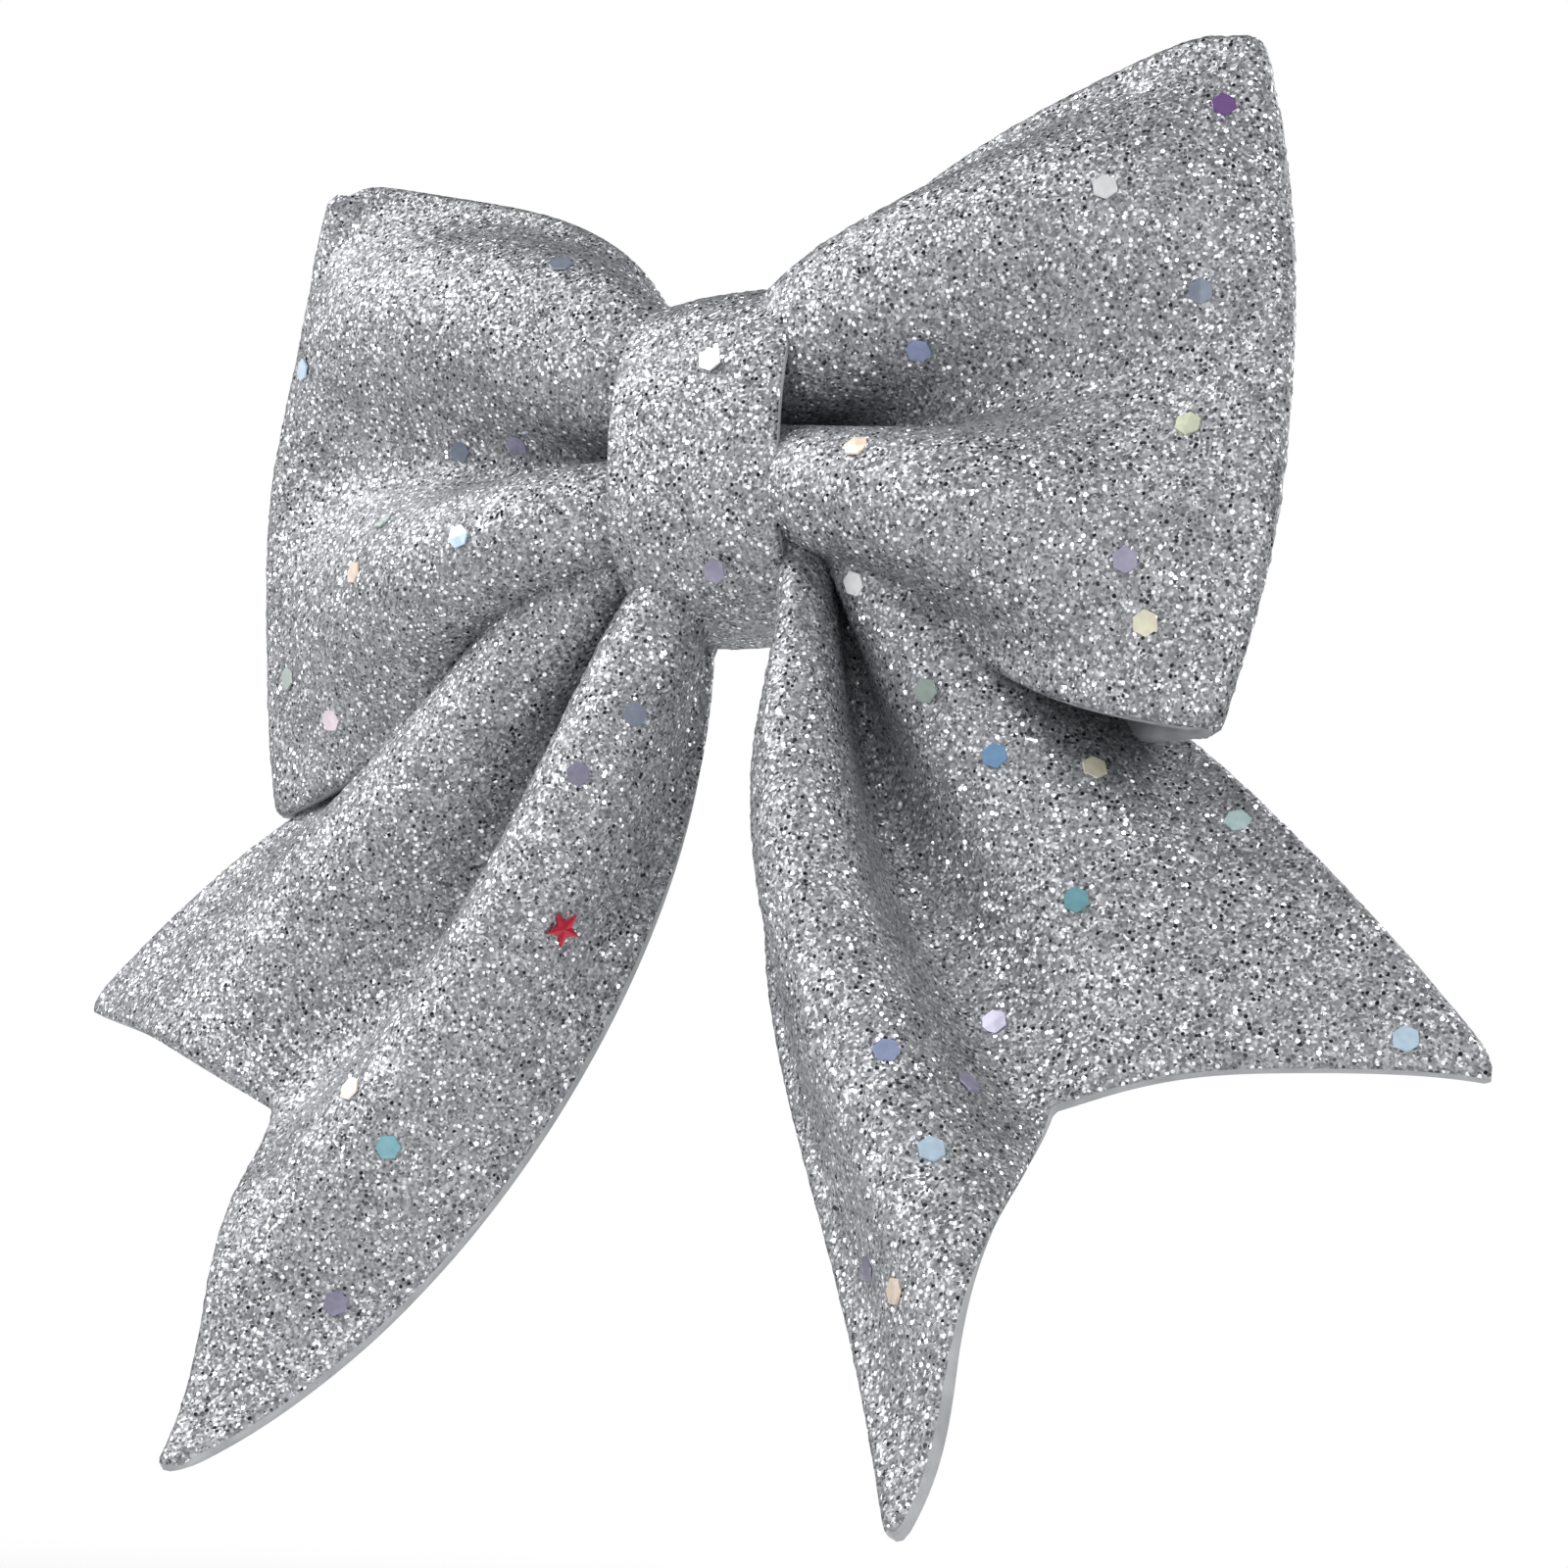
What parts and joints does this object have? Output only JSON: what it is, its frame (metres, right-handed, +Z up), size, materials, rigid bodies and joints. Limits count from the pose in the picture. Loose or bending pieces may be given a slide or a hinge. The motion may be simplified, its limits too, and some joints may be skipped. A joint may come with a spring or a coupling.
{
  "type": "gift bow",
  "caption": "Ready-made gift bow of glitter foam ribbon: two pleated loops, two fishtail streamers, a wrapped knot band and a sprung alligator clip behind.",
  "frame": {"origin": "middle of the closed gap between the clip's two jaws, at their tips, behind the bow's left loop", "axes": "bow upright: front faces -Y, +Z is up, +X is to the right seen from the front; the clip lies along X with its jaws opening towards -X"},
  "size_m": [0.1332, 0.0511, 0.1185],
  "materials": {
    "glitter_foam": "silver glitter coat on EVA foam, grains about 0.4 mm",
    "wire": "drawn steel wire",
    "glue": "set hot-melt glue, milky",
    "clip_steel": "nickel-plated sheet steel",
    "hex_foil": "iridescent hexagonal foil flakes",
    "red_foil": "metallised red foil"
  },
  "bodies": {
    "bow": {"loop_ribbon": "glitter_foam", "streamer_ribbon": "glitter_foam", "knot_band": "glitter_foam", "binding_wire": "wire", "band_glue": "glue", "clip_glue": "glue", "clip_base": "clip_steel", "clip_pin": "clip_steel", "clip_spring": "wire", "hex_flakes": "hex_foil", "star_flake": "red_foil"},
    "clip_jaw": {"clip_lever": "clip_steel"}
  },
  "joints": [
    {"name": "clip_jaw_pivot", "type": "hinge", "parent": "bow", "child": "clip_jaw", "pos_m": [0.029, 0.0031, 0], "axis": [0, 0, 1], "range_deg": [-24, 0], "stiffness_Nm_per_rad": 0.02, "springref_deg": 34.38, "deforming": ["clip_spring"]}
  ]
}
